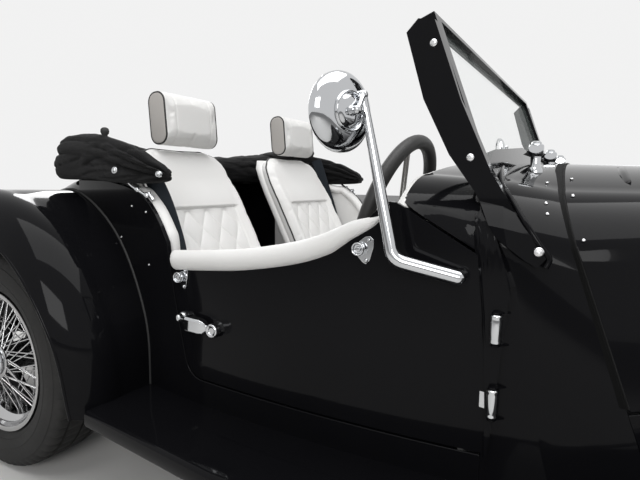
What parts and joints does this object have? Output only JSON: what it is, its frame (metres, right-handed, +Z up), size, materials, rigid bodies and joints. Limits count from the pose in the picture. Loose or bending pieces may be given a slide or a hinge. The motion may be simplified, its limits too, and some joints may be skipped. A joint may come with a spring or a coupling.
{
  "type": "roadster convertible",
  "caption": "Open traditional roadster with wire wheels, flowing wings, folded hood, opening doors and bonnet, and steering that turns the front wheels.",
  "frame": {"origin": "on the ground under the middle of the car", "axes": "+X nose, +Y left side, +Z up"},
  "size_m": [4.01, 1.72, 1.1505],
  "materials": {
    "body_paint": "deep gloss",
    "chassis_paint": "satin",
    "chrome": "polished",
    "wheel_metal": "polished",
    "tyre": "matte",
    "seat_leather": "satin",
    "trim_leather": "satin",
    "grip_leather": "satin",
    "hood_cloth": "matte",
    "screen_glass": "clear",
    "lamp_chrome": "polished",
    "floor_trim": "matte",
    "engine_metal": "rough",
    "exhaust_metal": "brushed"
  },
  "bodies": {
    "car": {"chassis_frame": "chassis_paint", "front_cross_frame": "chassis_paint", "rear_axle": "chassis_paint", "leaf_springs": "chassis_paint", "engine": "engine_metal", "exhaust": "exhaust_metal", "fuel_tank": "chassis_paint", "floor_and_tunnel": "floor_trim", "scuttle": "body_paint", "body_side_left": "body_paint", "body_side_right": "body_paint", "tail": "body_paint", "spare_wheel": "tyre", "dashboard": "trim_leather", "engine_valances": "body_paint", "radiator_cowl": "body_paint", "grille": "chrome", "bonnet_hinge": "chrome", "front_apron": "body_paint", "front_wing_left": "body_paint", "front_wing_right": "body_paint", "rear_wing_left": "body_paint", "rear_wing_right": "body_paint", "running_boards": "body_paint", "door_hinge_pins": "chrome", "windscreen_frame": "body_paint", "windscreen_glass": "screen_glass", "wipers": "chrome", "steering_column": "chassis_paint", "levers": "chrome", "seat_cushion_left": "seat_leather", "seat_back_left": "seat_leather", "seat_cushion_right": "seat_leather", "seat_back_right": "seat_leather", "folded_hood": "hood_cloth", "headlamps": "lamp_chrome", "small_lamps": "lamp_chrome", "front_bumper": "chrome", "rear_bumper": "chrome"},
    "door_left": {"door_left": "body_paint", "door_fittings_left": "chrome"},
    "door_right": {"door_right": "body_paint", "door_fittings_right": "chrome"},
    "bonnet_left": {"bonnet_left": "body_paint"},
    "bonnet_right": {"bonnet_right": "body_paint"},
    "steering_wheel": {"steering_wheel": "grip_leather"},
    "knuckle_left": {"knuckle_left": "chassis_paint"},
    "knuckle_right": {"knuckle_right": "chassis_paint"},
    "wheel_front_left": {"wire_wheel_front_left": "wheel_metal", "tyre_front_left": "tyre"},
    "wheel_front_right": {"wire_wheel_front_right": "wheel_metal", "tyre_front_right": "tyre"},
    "wheel_rear_left": {"wire_wheel_rear_left": "wheel_metal", "tyre_rear_left": "tyre"},
    "wheel_rear_right": {"wire_wheel_rear_right": "wheel_metal", "tyre_rear_right": "tyre"}
  },
  "joints": [
    {"name": "wheel_front_left_roll", "type": "hinge", "parent": "knuckle_left", "child": "wheel_front_left", "pos_m": [1.365, 0.635, 0.315], "axis": [0, 1, 0], "continuous": true},
    {"name": "wheel_front_right_roll", "type": "hinge", "parent": "knuckle_right", "child": "wheel_front_right", "pos_m": [1.365, -0.635, 0.315], "axis": [0, 1, 0], "continuous": true},
    {"name": "wheel_rear_left_roll", "type": "hinge", "parent": "car", "child": "wheel_rear_left", "pos_m": [-1.125, 0.69, 0.315], "axis": [0, 1, 0], "continuous": true},
    {"name": "wheel_rear_right_roll", "type": "hinge", "parent": "car", "child": "wheel_rear_right", "pos_m": [-1.125, -0.69, 0.315], "axis": [0, 1, 0], "continuous": true},
    {"name": "steer_left", "type": "hinge", "parent": "car", "child": "knuckle_left", "pos_m": [1.365, 0.53, 0.315], "axis": [0, 0, 1], "range_deg": [-28, 28]},
    {"name": "steer_right", "type": "hinge", "parent": "car", "child": "knuckle_right", "pos_m": [1.365, -0.53, 0.315], "axis": [0, 0, 1], "range_deg": [-28, 28]},
    {"name": "steering_wheel_turn", "type": "hinge", "parent": "car", "child": "steering_wheel", "pos_m": [-0.089, -0.316, 0.76], "axis": [-0.9511, 0, 0.309], "range_deg": [-420, 420]},
    {"name": "door_left_swing", "type": "hinge", "parent": "car", "child": "door_left", "pos_m": [0.224, 0.64107, 0.525], "axis": [0, 0, -1], "range_deg": [0, 65]},
    {"name": "door_right_swing", "type": "hinge", "parent": "car", "child": "door_right", "pos_m": [0.224, -0.64107, 0.525], "axis": [0, 0, 1], "range_deg": [0, 65]},
    {"name": "bonnet_left_lift", "type": "hinge", "parent": "car", "child": "bonnet_left", "pos_m": [0.28, 0, 0.892], "axis": [0.9994, 0, -0.035], "range_deg": [0, 65]},
    {"name": "bonnet_right_lift", "type": "hinge", "parent": "car", "child": "bonnet_right", "pos_m": [0.28, 0, 0.892], "axis": [-0.9994, 0, 0.035], "range_deg": [0, 65]}
  ],
  "couplings": [
    {"joint": "steer_left", "follows": "steer_right", "ratio": 1},
    {"joint": "steering_wheel_turn", "follows": "steer_right", "ratio": 15}
  ]
}
